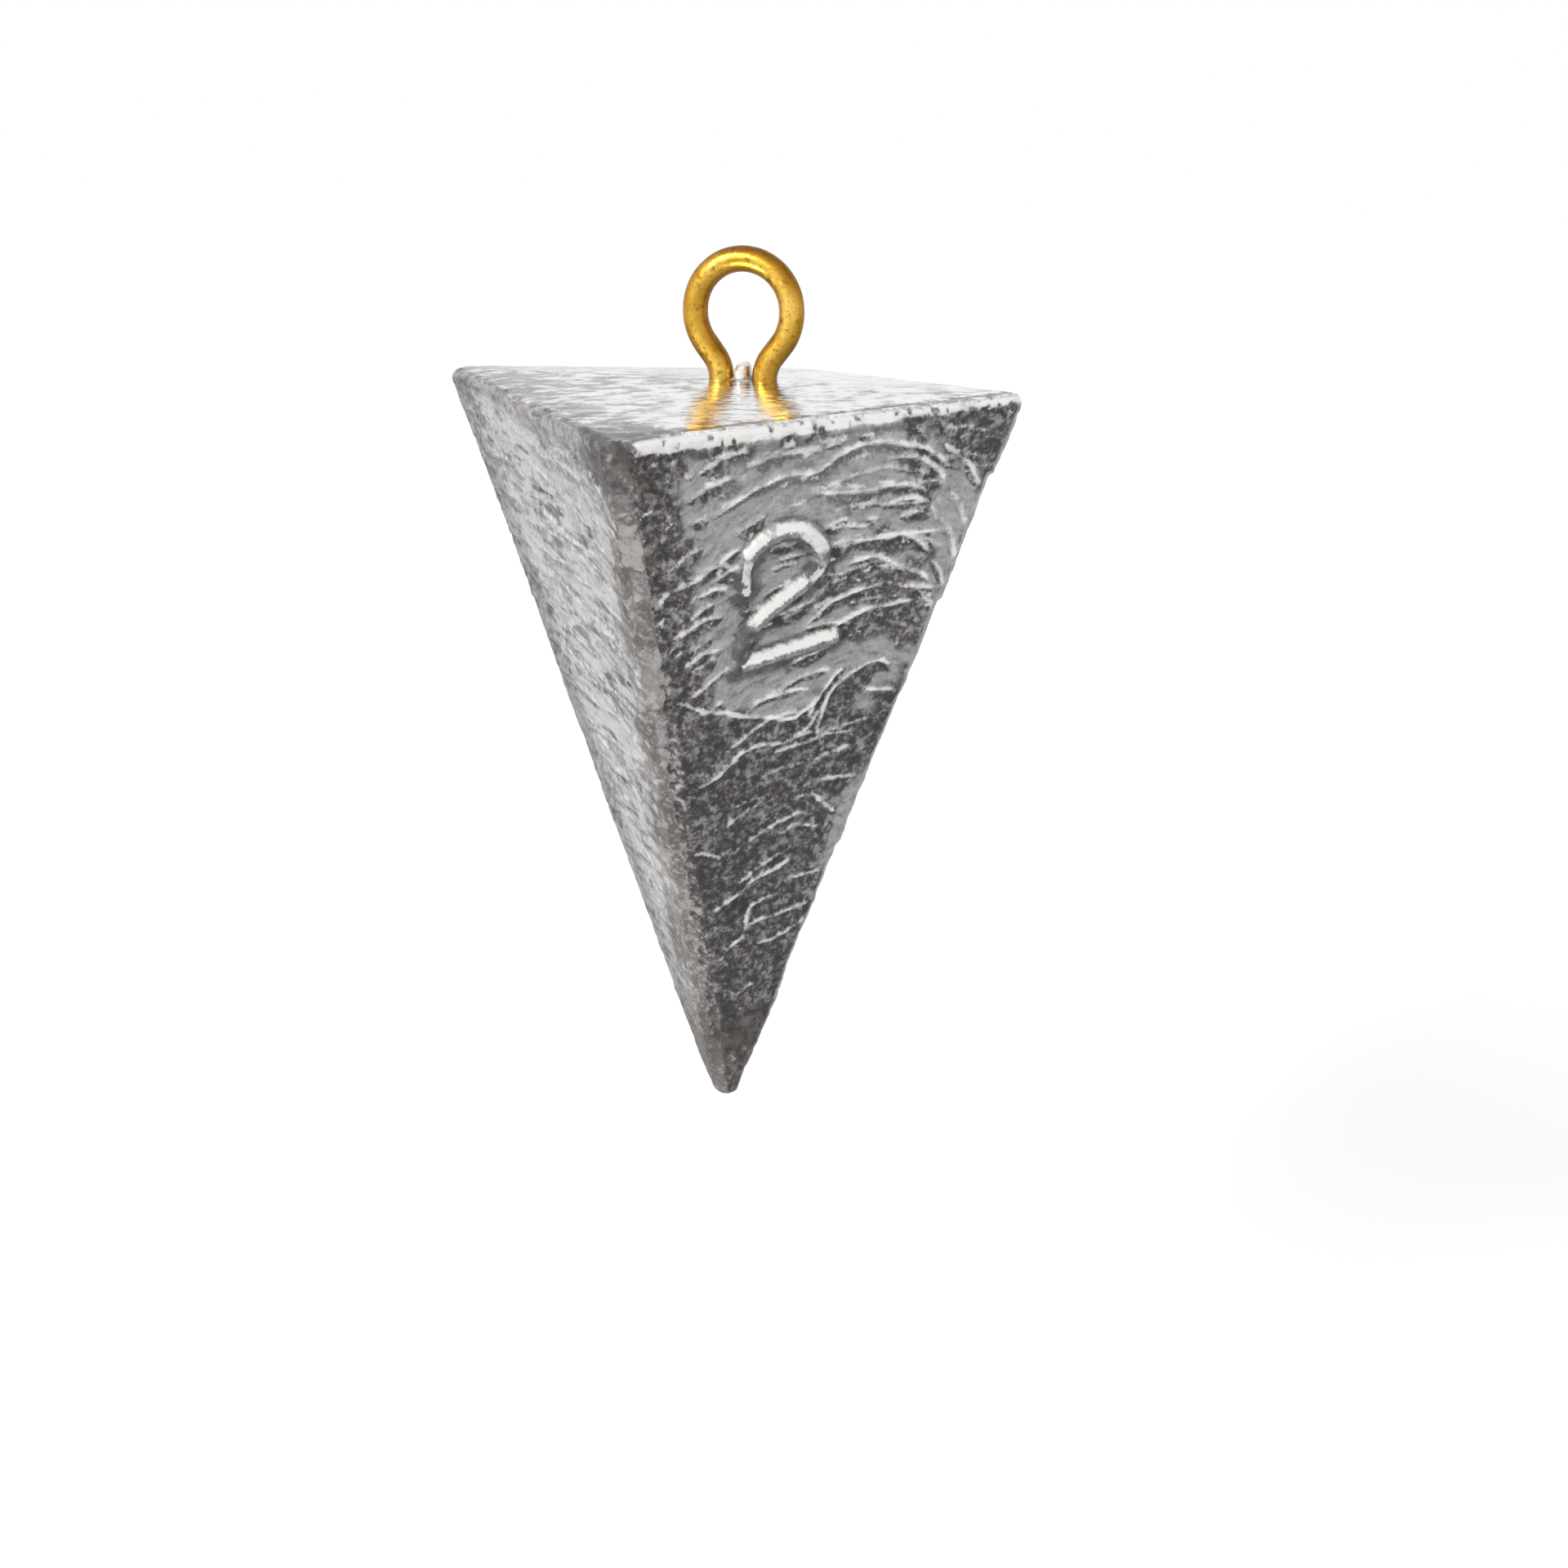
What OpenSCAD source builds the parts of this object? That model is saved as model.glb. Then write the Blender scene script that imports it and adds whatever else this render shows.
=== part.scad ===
// Four-sided pyramid fishing sinker: a lead body cast round a bent brass wire eye.
// It hangs tip down by the eye. The origin is the middle of the eye's loop, +Z is up,
// and the mould parts on the XZ plane, which holds the wire and two of the four long edges.

/* [Lead body] */
// Width of the top across two opposite sides
top_w = 19.8; // [14:0.1:30]
// Height of the body, from the parting line on its top down to its blunt tip
body_h = 35.8; // [24:0.1:60]
// Mould draft of the top: its slope down to either side of the parting plane, in degrees
top_draft = 4.1; // [1:0.1:8]
// Radius of the four long edges
edge_r = 0.9; // [0.7:0.05:2]
// Radius of the rim round the top
rim_r = 0.5; // [0.2:0.05:0.65]
// Radius of the blunt tip
tip_r = 0.7; // [0.5:0.01:2]

/* [Casting marks] */
// Thickness of the seam left along the parting plane
seam_w = 0.35; // [0.15:0.05:0.8]
// Height that the seam stands proud of the long edges
seam_h = 0.12; // [0.05:0.01:0.3]
// Width of the sprue stub between the legs
stub_w = 0.76; // [0.4:0.02:0.9]
// Length of the sprue stub across the parting plane
stub_l = 1.3; // [1:0.1:2.5]
// Height that the sprue stub stands above the top
stub_h = 0.8; // [0.5:0.05:1.5]

/* [Wire eye] */
// Diameter of the wire
wire_d = 1.15; // [0.8:0.05:1.6]
// Clear width inside the loop
eye_w = 3.4; // [3:0.1:5]
// Straight length at each side of the loop
eye_flank = 0.05; // [0.05:0.05:1]
// Angle that each side turns inward below the loop, in degrees
neck_turn = 38; // [28:1:42]
// Radius of the two neck bends, to the middle of the wire
neck_r = 1.6; // [1:0.05:2.4]
// Clear gap between the two legs
leg_gap = 0.9; // [0.5:0.05:1.3]
// Length of straight leg that shows above the body
leg_show = 0.05; // [0:0.05:4]
// Distance from the middle of the eye to the middle of the body
eye_shift = 0.85; // [0:0.05:2]

/* [Feet inside the lead] */
// Depth at which the legs start to turn outward
foot_depth = 4; // [1:0.1:8]
// Radius of the bends above the feet, to the middle of the wire
foot_r = 2.5; // [1.5:0.1:4]
// Angle that each foot splays outward, in degrees
foot_splay = 22; // [5:1:30]
// Straight length of each foot
foot_l = 9; // [3:0.1:12]

/* [Hidden] */

// Sides of a full circle on the wire, the edges and the tip
wire_fn = 32;
edge_fn = 48;
tip_fn = 32;
// Steps between rings on the wire's bends and between points on the rim, in degrees
ring_step = 7.5;
rim_step = 12;

// The wire's middle line, worked out from the clear sizes
loop_r = (eye_w + wire_d) / 2;
leg_x = (leg_gap + wire_d) / 2;
// Straight length between a loop bend and a neck bend, which brings the leg to leg_x
shoulder_l = (loop_r * cos(neck_turn) - neck_r * (1 - cos(neck_turn)) - leg_x) / sin(neck_turn);
// Height of the loop's middle above the end of the neck
neck_h = eye_flank + (loop_r + neck_r) * sin(neck_turn) + shoulder_l * cos(neck_turn);
// Height of the loop's middle above the body
eye_rise = neck_h + leg_show;

// Bend schedule of half the wire, from the top of the loop to the end of a foot:
// [length] is a straight, [radius, angle] is a bend, and a bend inward is positive
half_wire = [
    [loop_r, 90],
    [eye_flank],
    [loop_r, neck_turn],
    [shoulder_l],
    [neck_r, -neck_turn],
    [leg_show + foot_depth],
    [foot_r, -foot_splay],
    [foot_l]
];

// Distance from the body's middle line to the middle of each corner's round
corner_at = (top_w / 2 - edge_r) * sqrt(2);
// Depth of the tip's centre below the parting line on the top
tip_at = body_h - tip_r;
// Drop of the two corners that lie off the parting plane
corner_drop = corner_at * tan(top_draft);
// Taper of the long edges, as an angle from the vertical
taper = atan((corner_at + edge_r - tip_r) / (tip_at - rim_r));

// Distance from the body's middle line to a long edge's centre, at a depth below the top
function edge_at(depth) = corner_at * (tip_at - depth) / (tip_at - rim_r);

// Direction across the wire, on its inner side, where it heads at an angle below +X
function across(heading) = [-sin(heading), 0, -cos(heading)];

// The place [point, heading] reached from another after a share of one move
function moved(place, move, share) =
    len(move) == 1
        ? [place[0] + share * move[0] * [cos(place[1]), 0, -sin(place[1])], place[1]]
        : let (turn = share * move[1])
            [place[0] + sign(turn) * move[0] * (across(place[1]) - across(place[1] + turn)), place[1] + turn];

// Every place along a schedule where the wire gets a ring
function places(moves, from, i = 0) =
    i == len(moves) ? [] :
        let (steps = len(moves[i]) == 1 ? 1 : ceil(abs(moves[i][1]) / ring_step))
            concat(
                [for (k = [1 : steps]) moved(from, moves[i], k / steps)],
                places(moves, moved(from, moves[i], 1), i + 1)
            );

// The ring of points round one place. side is -1 on the mirrored half
function ring(place, side) =
    [for (k = [0 : wire_fn - 1])
        let (a = k * 360 / wire_fn, point = place[0] + wire_d / 2 * (cos(a) * across(place[1]) + [0, sin(a), 0]))
            [side * point.x, point.y, point.z]];

// The whole wire as one sweep, from the foot on the -X side to the foot on the +X side
module whole_wire() {
    top = [[0, 0, loop_r], 0];
    half = places(half_wire, top);
    rings = concat(
        [for (k = [len(half) - 1 : -1 : 0]) ring(half[k], -1)],
        [ring(top, 1)],
        [for (place = half) ring(place, 1)]
    );
    last = len(rings) - 1;
    polyhedron(
        points = [for (r = rings, point = r) point],
        faces = concat(
            [[for (k = [0 : wire_fn - 1]) k]],
            [for (i = [0 : last - 1], k = [0 : wire_fn - 1])
                let (a = i * wire_fn, b = a + wire_fn, next = (k + 1) % wire_fn)
                    [a + k, b + k, b + next, a + next]],
            [[for (k = [wire_fn - 1 : -1 : 0]) last * wire_fn + k]]
        )
    );
}

// One rounded corner of the top: a button whose flat face is level with the top. Its rim
// turns under as far as the taper of the long edge that leaves it
module corner_button() {
    rim = [for (a = [90 : -rim_step : -taper - rim_step])
        [edge_r - rim_r + rim_r * cos(a), rim_r * sin(a) - rim_r]];
    rotate_extrude($fn = edge_fn) polygon(concat([[0, 0]], rim, [[0, rim[len(rim) - 1].y]]));
}

// The cast block, its parting line on the top at height 0
module cast_block() {
    hull() {
        for (side = [-1, 1]) {
            translate([side * corner_at, 0, 0]) corner_button();
            translate([0, side * corner_at, -corner_drop]) corner_button();
        }
        translate([0, 0, -tip_at]) sphere(r = tip_r, $fn = tip_fn);
    }
}

// The seam along the two long edges where the mould halves met. It starts below the rim
module parting_seam() {
    start = edge_r + 2 * seam_h;
    rotate([90, 0, 0]) linear_extrude(seam_w, center = true)
        hull() {
            for (side = [-1, 1])
                translate([side * edge_at(start), -start]) circle(r = edge_r + seam_h, $fn = edge_fn);
            translate([0, -tip_at]) circle(r = tip_r + seam_h, $fn = edge_fn);
        }
}

// What is left of the sprue after it was broken off, between the legs
module sprue_stub() {
    hull()
        for (side = [-1, 1])
            translate([0, side * (stub_l - stub_w) / 2, 0]) {
                translate([0, 0, -rim_r]) cylinder(h = rim_r, d = stub_w, $fn = tip_fn);
                translate([0, 0, stub_h - stub_w / 2]) sphere(d = stub_w, $fn = tip_fn);
            }
}

module lead_body() {
    color("#8d898c") difference() {
        translate([-eye_shift, 0, -eye_rise]) {
            cast_block();
            parting_seam();
            translate([eye_shift, 0, 0]) sprue_stub();
        }
        whole_wire();
    }
}

module wire_eye() {
    color("#d09a35") whole_wire();
}

lead_body();
wire_eye();
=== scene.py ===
import math
import bmesh
import bpy
import numpy as np
from types import SimpleNamespace
from mathutils import Matrix, Vector
from mathutils.bvhtree import BVHTree


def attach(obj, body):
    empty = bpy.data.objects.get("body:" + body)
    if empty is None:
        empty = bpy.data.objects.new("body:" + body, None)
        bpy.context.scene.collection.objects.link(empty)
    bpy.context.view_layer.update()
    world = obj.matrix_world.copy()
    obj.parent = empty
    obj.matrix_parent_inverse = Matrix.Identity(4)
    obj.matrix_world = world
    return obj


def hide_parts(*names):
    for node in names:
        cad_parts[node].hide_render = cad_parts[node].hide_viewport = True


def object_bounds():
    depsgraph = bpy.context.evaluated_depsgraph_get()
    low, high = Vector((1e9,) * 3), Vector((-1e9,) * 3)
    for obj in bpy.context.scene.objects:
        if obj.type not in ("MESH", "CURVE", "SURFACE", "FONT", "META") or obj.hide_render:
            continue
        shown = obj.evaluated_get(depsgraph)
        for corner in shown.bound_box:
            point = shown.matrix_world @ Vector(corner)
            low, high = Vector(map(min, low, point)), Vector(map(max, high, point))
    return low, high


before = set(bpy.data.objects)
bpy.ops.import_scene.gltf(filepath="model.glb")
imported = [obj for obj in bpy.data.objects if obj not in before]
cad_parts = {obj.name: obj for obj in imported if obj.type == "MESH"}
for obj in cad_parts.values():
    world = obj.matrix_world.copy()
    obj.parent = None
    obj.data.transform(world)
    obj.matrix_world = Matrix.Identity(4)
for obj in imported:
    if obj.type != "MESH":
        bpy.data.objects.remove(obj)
cadBounds = [list(corner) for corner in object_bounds()]
scene = bpy.context.scene
mm = 0.001  # the drawing below is in millimetres, Blender is in metres
print("frame loaded:", sorted(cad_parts))


# Small helpers: numbers, repeatable noise and node trees

def ramp(value, low, high):
    share = np.clip((value - low) / (high - low), 0, 1)
    return share * share * (3 - 2 * share)


def fall(value, low, high):
    return 1 - ramp(value, low, high)


def window(value, start, full, fading, gone):
    # 1 between full and fading, and 0 before start and when gone
    return ramp(value, start, full) * fall(value, fading, gone)


def unit(vector):
    return vector / np.linalg.norm(vector)


def latticeHash(cell, seed):
    # a repeatable number below 65536 for each corner of a lattice, stirred by a few large odd numbers
    mix = (cell[..., 0] * 73856093) ^ (cell[..., 1] * 19349663) ^ (cell[..., 2] * 83492791) ^ (seed * 40503)
    mix = ((mix & 0xffffffff) * 1274126177) & 0xffffffff
    mix = ((mix ^ (mix >> 15)) * 2246822519) & 0xffffffff
    return (mix ^ (mix >> 13)) & 0xffff


def waves(points, size, seed, octaves=1):
    # smooth noise between about -1 and 1, with lumps as wide as size
    total, weight = np.zeros(len(points)), 0
    for octave in range(octaves):
        at = points / size * 2 ** octave + 17.3 * octave
        cell = np.floor(at).astype(np.int64)
        inside = at - cell
        fade = inside ** 3 * (inside * (inside * 6 - 15) + 10)
        layer = np.zeros(len(points))
        for corner in np.ndindex(2, 2, 2):
            here = cell + np.array(corner)
            offset = inside - np.array(corner)
            share = np.prod(np.where(np.array(corner) == 1, fade, 1 - fade), axis=1)
            slope = np.stack([latticeHash(here, seed + 31 * octave + 7 * k) for k in range(3)], axis=1)
            layer += share * np.sum((slope / 32767.5 - 1) * offset, axis=1)
        total += layer * 1.6 / 2 ** octave
        weight += 1 / 2 ** octave
    return total / weight


def flowLine(points, steps=6):
    # a smooth line through drawn points
    drawn = np.array(points, float)
    padded = np.vstack([2 * drawn[0] - drawn[1], drawn, 2 * drawn[-1] - drawn[-2]])
    smooth = []
    for a, b, c, d in zip(padded, padded[1:], padded[2:], padded[3:]):
        for k in range(steps):
            t = k / steps
            smooth.append(0.5 * (2 * b + (c - a) * t + (2 * a - 5 * b + 4 * c - d) * t ** 2
                                 + (3 * b - a - 3 * c + d) * t ** 3))
    smooth.append(drawn[-1])
    return np.array(smooth)


def alongLine(spots, line):
    # distance to a line, distance below it (negative above) and the share of its length passed
    away, below, passed = np.full(len(spots), 1e9), np.zeros(len(spots)), np.zeros(len(spots))
    lengths = np.linalg.norm(np.diff(line, axis=0), axis=1)
    start = 0
    for a, b, length in zip(line, line[1:], lengths):
        run = (b - a) / length
        along = np.clip((spots - a) @ run, 0, length)
        off = spots - a - along[:, None] * run
        distance = np.hypot(off[:, 0], off[:, 1])
        closer = distance < away
        away = np.where(closer, distance, away)
        below = np.where(closer, run[0] * (spots - a)[:, 1] - run[1] * (spots - a)[:, 0], below)
        passed = np.where(closer, (start + along) / lengths.sum(), passed)
        start += length
    return away, below, passed


def plug(value, socket):
    # links an output to an input, or sets the input; a colour gets its alpha
    if isinstance(value, bpy.types.NodeSocket):
        value.id_data.links.new(value, socket)
    elif socket.type == "RGBA":
        socket.default_value = (*value, 1)
    else:
        socket.default_value = value


def addNode(tree, kind, inputs=None, **settings):
    made = tree.nodes.new(kind)
    for name, value in settings.items():
        setattr(made, name, value)
    for name, value in (inputs or {}).items():
        plug(value, made.inputs[name])
    return made


def treeOf(*values):
    return next(value.id_data for value in values if isinstance(value, bpy.types.NodeSocket))


def mathNode(operation, *values):
    made = addNode(treeOf(*values), "ShaderNodeMath", dict(enumerate(values)), operation=operation)
    return made.outputs[0]


def times(first, second):
    return mathNode("MULTIPLY", first, second)


def plus(first, second):
    return mathNode("ADD", first, second)


def less(first, second):
    return mathNode("SUBTRACT", first, second)


def most(first, second):
    return mathNode("MAXIMUM", first, second)


def mixed(*parts):
    # the sum of values, each with its weight
    total = 0.0
    for value, weight in parts:
        total = plus(times(value, weight), total)
    return total


def mixColour(share, first, second):
    sockets = {0: share, 6: first, 7: second}  # a mix node's share and its two colours
    made = addNode(treeOf(share, first, second), "ShaderNodeMix", sockets,
                   data_type="RGBA", clamp_factor=True)
    return made.outputs[2]


def rampNode(value, low, high, bottom=0.0, top=1.0):
    stops = {"Value": value, "From Min": low, "From Max": high, "To Min": bottom, "To Max": top}
    made = addNode(value.id_data, "ShaderNodeMapRange", stops, interpolation_type="SMOOTHSTEP")
    return made.outputs["Result"]


def noiseNode(coords, size, detail, rough=0.55, stretch=(1, 1, 1)):
    # size is the width of one lump in millimetres
    tree, scale = coords.id_data, [1 / (size * mm * part) for part in stretch]
    place = addNode(tree, "ShaderNodeMapping", {"Vector": coords, "Scale": scale})
    made = addNode(tree, "ShaderNodeTexNoise", {
        "Vector": place.outputs[0], "Scale": 1.0, "Detail": detail, "Roughness": rough})
    return made.outputs[0]


def attribute(tree, name, output="Fac"):
    return addNode(tree, "ShaderNodeAttribute", attribute_name=name).outputs[output]


def rampColours(value, stops):
    made = addNode(value.id_data, "ShaderNodeValToRGB", {0: value})
    line = made.color_ramp.elements
    while len(line) < len(stops):
        line.new(0.5)
    for element, (at, colour) in zip(line, stops):
        element.position = at
        element.color = (*colour, 1)
    return made.outputs[0]


def bareTree(owner):
    owner.use_nodes = True
    owner.node_tree.nodes.clear()
    return owner.node_tree


def newMaterial(name):
    made = bpy.data.materials.new(name)
    tree = bareTree(made)
    return made, tree, addNode(tree, "ShaderNodeTexCoord").outputs["Object"]


def showSurface(tree, inputs):
    surface = addNode(tree, "ShaderNodeBsdfPrincipled", inputs)
    addNode(tree, "ShaderNodeOutputMaterial", {"Surface": surface.outputs[0]})


def addObject(name, data):
    made = bpy.data.objects.new(name, data)
    scene.collection.objects.link(made)
    return made


# The cast lead body

leadBody = {
    "topWidth": 19.8,  # across two opposite sides
    "height": 35.8,  # from the parting line on the top to the tip
    "topDraft": 4.1,  # slope of the top either side of the parting line, degrees
    "edgeRadius": 0.9,
    "rimRadius": 0.5,
    "tipRadius": 0.7,
    "middle": (-0.85, 0.0, -3.034),  # middle of the top, from the middle of the eye
    "stub": {"width": 0.76, "length": 1.3, "height": 0.8},
    "side": {"width": 17.7, "tipAcross": 9.0, "tipDown": 34.7},  # the flat part of each side
    "seamProud": 0.09,
    "seamWidth": 0.35,
    # the tip leans to the right below the first two depths, and bulges that way between the others
    "tipLean": {"by": 0.14, "below": (33.5, 35.8), "bulge": (27.5, 31, 33, 34.8)},
    "meshStep": 0.27,  # halved on the two front sides, a third of it round the stub
    "fineSides": {"behind": 1.0, "upward": 0.75},  # how far back they reach, and how far up they may face
    "hullSteps": {"rim": 9, "under": 46, "round": 6, "ball": 7.5},  # degrees
    "inset": 0.01,  # everything stays this far inside the frame's own box
    "sideArrises": {"right": ("front", "right"), "left": ("front", "left"),
                    "backRight": ("back", "right"), "backLeft": ("back", "left")},
}

castPattern = {
    "topStreaks": (0.955, 0.296),  # cosine and sine of the way the top's streaks run
    "flowApart": 20.0,  # keeps the patterns of the four sides apart
    "topFlow": 90.0,  # and that of the top from theirs
}

figureTwo = {  # the raised figure for two ounces, drawn across and down the right-hand face
    "bow": [(5.6, 6.7), (5.5, 5.7), (5.9, 4.9), (6.7, 4.35), (7.6, 4.2), (8.5, 4.5), (9.15, 5.2),
            (9.2, 6.0), (8.6, 6.75), (7.8, 7.3), (6.9, 7.95), (6.2, 8.6), (5.75, 9.4), (5.6, 10.5)],
    "foot": [(5.6, 10.45), (7.0, 10.25), (8.6, 10.0), (10.2, 9.75)],
    "halfWidth": 0.44,
    "height": 0.34,
    "shadeSide": (0.02, 0.055),  # a short step towards the side where its painted shade lies
    # shares of the bow's length
    "highlitBow": (0.30, 0.36, 0.455, 0.49),
    "dullStart": (0.10, 0.14),
    "dullTurn": (0.55, 0.025, 0.055),  # its middle, and how far either side it is full and fades
    "dullHeel": (0.81, 0.86),
}

rippleShape = {
    "crestWidth": 0.135,
    "glintWidth": 0.15,
    "bandDepth": 0.35,  # share of the crest's height that the band below it is sunk
    "reach": 3,  # no line marks anything further off than this
}

# where the lead chilled in steps: each line across and down a side, its height and its dark band's width;
# the band is partly painted shadow
chillRipples = {
    "right": [
        ([(3.2, 3.6), (4.2, 2.9), (5.3, 2.3), (6.3, 1.9), (7.4, 1.55), (8.5, 1.6), (9.3, 1.2),
          (10.2, 0.75), (11.3, 0.65), (12.3, 0.8), (13.8, 1.2), (15.0, 2.0), (15.9, 2.9)], 0.1, 0.9),
        ([(12.3, 1.3), (13.5, 1.6), (14.6, 2.2), (15.2, 3.0)], 0.07, 1.3),
        ([(6.0, 0.7), (6.6, 0.45), (7.6, 0.2)], 0.06, 0.4),
        ([(7.6, 0.9), (8.6, 0.6), (9.8, 0.4)], 0.06, 0.4),
        ([(3.2, 1.8), (4.0, 1.5), (5.4, 1.4)], 0.07, 0.5),
        ([(3.3, 0.4), (4.4, 0.3), (5.4, 0.45)], 0.05, 0.4),
        ([(8.0, 2.5), (9.2, 2.7), (10.3, 2.85), (11.8, 2.75), (12.6, 2.75), (13.7, 3.0),
          (14.8, 3.7)], 0.06, 0.8),
        ([(11.6, 3.9), (12.7, 3.5), (13.5, 3.5), (14.5, 4.0), (15.2, 4.9)], 0.07, 0.7),
        ([(9.3, 4.5), (10.5, 4.4), (11.8, 4.6)], 0.05, 0.3),
        ([(9.7, 5.5), (10.6, 5.15), (11.9, 5.2), (13.3, 5.2), (14.2, 5.7), (15.0, 6.6)], 0.07, 0.9),
        ([(10.3, 6.2), (11.5, 6.05), (12.3, 6.2), (13.2, 6.7), (14.2, 7.1), (15.3, 8.0)], 0.09, 0.8),
        ([(8.7, 9.1), (9.3, 8.5), (10.3, 7.9), (11.6, 7.6), (13.0, 7.65)], 0.08, 0.8),
        ([(9.8, 9.7), (10.8, 9.0), (11.9, 8.65), (13.2, 8.55), (14.6, 8.6)], 0.09, 2.4),
        ([(9.9, 15.6), (10.1, 14.2), (10.5, 12.8), (11.2, 12.0), (12.2, 11.5), (13.1, 11.5),
          (13.8, 12.2)], 0.1, 2.2),
        ([(6.2, 12.9), (7.2, 12.4), (8.3, 12.2), (9.6, 12.3)], 0.06, 0.5),
        ([(9.4, 14.0), (9.9, 12.9), (10.4, 12.1), (11.2, 11.3)], 0.07, 0.6),
        ([(2.5, 11.6), (3.7, 12.3), (5.0, 12.75), (6.0, 13.05), (7.1, 13.3), (8.4, 13.7), (9.1, 13.5),
          (9.8, 12.9), (10.2, 12.2)], 0.08, 1.3),
        ([(3.6, 16.7), (4.9, 16.3), (5.7, 15.6), (6.3, 15.1), (7.2, 14.8), (8.2, 14.9), (9.1, 14.6),
          (9.8, 14.0), (10.2, 13.2)], 0.09, 1.6),
        ([(7.6, 15.5), (8.6, 15.3), (9.7, 15.1), (10.6, 14.9), (12.0, 15.2)], 0.06, 1.6),
        ([(6.0, 18.0), (7.3, 17.7), (8.3, 18.1)], 0.05, 0.8),
        ([(8.9, 18.4), (9.8, 18.1), (10.8, 18.7), (11.6, 19.7)], 0.06, 0.9),
        ([(8.6, 20.2), (9.4, 19.7), (10.9, 20.1)], 0.05, 0.9),
        ([(5.2, 24.0), (6.6, 23.1), (7.4, 22.4), (8.4, 22.1), (9.6, 21.5)], 0.07, 1.5),
        ([(7.2, 25.7), (7.3, 24.4), (7.8, 23.7), (9.2, 23.5)], 0.06, 1.0),
        ([(5.9, 27.0), (6.6, 26.1), (7.4, 25.5)], 0.06, 1.1),
        ([(3.4, 5.6), (4.4, 5.4), (5.0, 5.5)], 0.06, 0.6),
        ([(3.4, 6.8), (4.1, 6.5), (4.9, 6.6)], 0.06, 0.7),
        ([(2.6, 8.6), (3.8, 8.0), (4.9, 7.8)], 0.07, 0.9),
        ([(3.0, 10.3), (4.0, 9.6), (5.0, 9.5)], 0.06, 0.9),
        ([(1.9, 20.3), (3.2, 20.6), (4.6, 20.3), (6.0, 20.9)], 0.05, 1.2),
        ([(6.9, 29.4), (7.6, 28.8), (8.4, 28.7)], 0.05, 1.0),
        ([(14.6, 1.2), (15.6, 1.7), (16.4, 2.5), (17.0, 3.6)], 0.08, 0.6),
        ([(15.3, 3.3), (16.0, 4.1), (16.5, 5.2)], 0.07, 0.5),
        ([(14.8, 4.4), (15.6, 5.2), (16.1, 6.3), (16.2, 7.0)], 0.08, 0.6),
        ([(14.9, 6.5), (15.5, 7.3), (15.8, 8.2)], 0.07, 0.5),
        ([(14.6, 8.3), (15.2, 8.9), (15.5, 9.7)], 0.06, 0.5),
    ],
    "left": [
        ([(6.6, 0.8), (5.7, 0.9), (2.9, 0.9), (1.7, 1.5), (0.4, 2.6)], 0.05, 0.4),
        ([(5.0, 0.6), (2.6, 1.2), (0.8, 1.9)], 0.04, 0.4),
        ([(12.4, 3.9), (9.6, 4.4), (6.2, 5.2), (3.4, 5.3), (1.8, 6.3)], 0.05, 0.5),
        ([(10.4, 5.4), (6.4, 5.7), (4.6, 6.2), (1.7, 6.9)], 0.04, 0.4),
        ([(2.4, 3.0), (0.9, 3.6), (0.7, 4.4)], 0.05, 0.4),
        ([(12.6, 7.2), (9.0, 8.2), (5.4, 8.9), (2.6, 10.4), (1.6, 11.8)], 0.05, 0.5),
        ([(8.0, 9.9), (5.0, 10.9), (3.0, 12.4)], 0.04, 0.4),
        ([(13.0, 11.0), (10.0, 12.4), (6.6, 13.6), (3.6, 15.8)], 0.05, 0.5),
        ([(11.4, 15.8), (8.4, 16.9), (5.6, 18.7)], 0.05, 0.5),
        ([(10.6, 19.6), (8.2, 21.0), (6.2, 23.0)], 0.04, 0.4),
    ],
}

flowArch = {
    "crown": {"right": 11.5, "backRight": 7.5, "backLeft": 10.0},  # how far across each side's arches peak
    "height": 2.1,
    "growth": 0.11,  # more height for each millimetre down
    "halfSpan": 8.6,
}

rightFace = {  # places across and down the right-hand side
    "calmSpot": {"middle": (15.5, 4.6), "size": (0.9, 2.2)},
    "calmBand": {"across": (3.0, 5.0, 12.0, 14.0), "down": (0.3, 0.9, 2.6, 4.2)},
    "darkCorner": (12.0, 14.5),  # how far out the rough corner at the top starts and is full
    "roughLow": (11.0, 15.5),  # and how far down the rough and the soiled part
    "soiledLow": (11, 16),
    "bareOuter": (20, 1.5, 4.5),  # the middle of a smooth stretch by the outer arris, and its fading
}

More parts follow.
